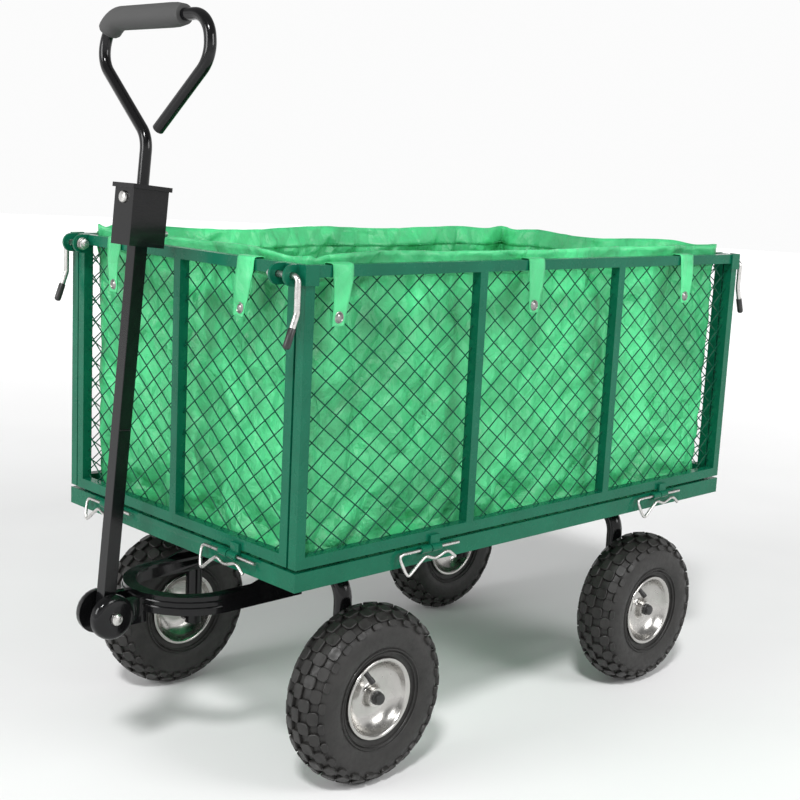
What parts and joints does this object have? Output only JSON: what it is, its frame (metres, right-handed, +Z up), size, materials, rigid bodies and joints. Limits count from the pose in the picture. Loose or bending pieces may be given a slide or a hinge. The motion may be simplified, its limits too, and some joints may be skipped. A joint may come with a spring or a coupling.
{
  "type": "garden cart",
  "caption": "Steel mesh garden cart with upright sides, a fabric bag, pneumatic wheels, a steered front axle and a folding pull handle with a tow sleeve.",
  "frame": {"origin": "on the ground, below the middle of the whole cart's box", "axes": "+X forward, towards the pull handle; +Y to the cart's left; +Z up"},
  "size_m": [1.1254, 0.5724, 1.0428],
  "materials": {
    "frame_green": "semi-gloss powder coat",
    "mesh_green": "semi-gloss powder coat on welded wire",
    "black_gloss": "gloss powder coat",
    "zinc_wire": "bright zinc plated",
    "zinc_bolt": "bright zinc plated",
    "rim_silver": "silver lacquer",
    "tyre": "matt black rubber",
    "bag_fabric": "coated woven polyester",
    "foam": "matt foam"
  },
  "bodies": {
    "cart": {"deck_frame": "frame_green", "deck_mesh": "mesh_green", "panel_front_frame": "frame_green", "panel_front_mesh": "mesh_green", "hinge_pin_front_1": "zinc_wire", "hinge_pin_front_2": "zinc_wire", "strap_front_1": "bag_fabric", "strap_front_2": "bag_fabric", "panel_left_frame": "frame_green", "panel_left_mesh": "mesh_green", "hinge_pin_left_1": "zinc_wire", "hinge_pin_left_2": "zinc_wire", "strap_left_1": "bag_fabric", "strap_left_2": "bag_fabric", "strap_left_3": "bag_fabric", "panel_rear_frame": "frame_green", "panel_rear_mesh": "mesh_green", "hinge_pin_rear_1": "zinc_wire", "hinge_pin_rear_2": "zinc_wire", "strap_rear_1": "bag_fabric", "strap_rear_2": "bag_fabric", "panel_right_frame": "frame_green", "panel_right_mesh": "mesh_green", "hinge_pin_right_1": "zinc_wire", "hinge_pin_right_2": "zinc_wire", "strap_right_1": "bag_fabric", "strap_right_2": "bag_fabric", "strap_right_3": "bag_fabric", "latch_bracket_front_left": "frame_green", "latch_bracket_front_right": "frame_green", "latch_bracket_rear_left": "frame_green", "latch_bracket_rear_right": "frame_green", "liner_bag": "bag_fabric", "rear_axle": "black_gloss", "turntable_upper": "black_gloss"},
    "steer": {"front_axle": "black_gloss", "turntable_lower": "black_gloss", "tongue": "black_gloss", "pivot_bolt": "zinc_bolt"},
    "handle": {"handle_tube": "black_gloss", "tow_sleeve": "black_gloss", "grip_loop": "black_gloss", "foam_grip": "foam", "sleeve_bolt": "zinc_bolt"},
    "hitch_pin_body": {"hitch_pin": "zinc_bolt"},
    "wheel_front_left": {"tyre_front_left": "tyre", "rim_front_left": "rim_silver"},
    "wheel_front_right": {"tyre_front_right": "tyre", "rim_front_right": "rim_silver"},
    "wheel_rear_left": {"tyre_rear_left": "tyre", "rim_rear_left": "rim_silver"},
    "wheel_rear_right": {"tyre_rear_right": "tyre", "rim_rear_right": "rim_silver"},
    "latch_front_left": {"latch_lever_front_left": "zinc_wire"},
    "latch_front_right": {"latch_lever_front_right": "zinc_wire"},
    "latch_rear_left": {"latch_lever_rear_left": "zinc_wire"},
    "latch_rear_right": {"latch_lever_rear_right": "zinc_wire"}
  },
  "joints": [
    {"name": "steering", "type": "hinge", "parent": "cart", "child": "steer", "pos_m": [0.25672, 0, 0.307], "axis": [0, 0, 1], "range_deg": [-22, 22]},
    {"name": "handle_tilt", "type": "hinge", "parent": "steer", "child": "handle", "pos_m": [0.53172, 0, 0.233], "axis": [0, 1, 0], "range_deg": [-1, 105]},
    {"name": "hitch_pin_pull", "type": "slide", "parent": "handle", "child": "hitch_pin_body", "axis": [-0.9962, 0, -0.0872], "range_m": [0, 0.03]},
    {"name": "wheel_front_left_spin", "type": "hinge", "parent": "steer", "child": "wheel_front_left", "pos_m": [0.25672, 0.231, 0.127], "axis": [0, 1, 0], "continuous": true},
    {"name": "wheel_front_right_spin", "type": "hinge", "parent": "steer", "child": "wheel_front_right", "pos_m": [0.25672, -0.231, 0.127], "axis": [0, 1, 0], "continuous": true},
    {"name": "wheel_rear_left_spin", "type": "hinge", "parent": "cart", "child": "wheel_rear_left", "pos_m": [-0.37028, 0.231, 0.127], "axis": [0, 1, 0], "continuous": true},
    {"name": "wheel_rear_right_spin", "type": "hinge", "parent": "cart", "child": "wheel_rear_right", "pos_m": [-0.37028, -0.231, 0.127], "axis": [0, 1, 0], "continuous": true},
    {"name": "latch_front_left_swing", "type": "hinge", "parent": "cart", "child": "latch_front_left", "pos_m": [0.43572, 0.241, 0.7154], "axis": [0, -1, 0], "range_deg": [0, 170]},
    {"name": "latch_front_right_swing", "type": "hinge", "parent": "cart", "child": "latch_front_right", "pos_m": [0.43572, -0.241, 0.7154], "axis": [0, -1, 0], "range_deg": [0, 170]},
    {"name": "latch_rear_left_swing", "type": "hinge", "parent": "cart", "child": "latch_rear_left", "pos_m": [-0.54228, 0.241, 0.7154], "axis": [0, 1, 0], "range_deg": [0, 170]},
    {"name": "latch_rear_right_swing", "type": "hinge", "parent": "cart", "child": "latch_rear_right", "pos_m": [-0.54228, -0.241, 0.7154], "axis": [0, 1, 0], "range_deg": [0, 170]}
  ]
}
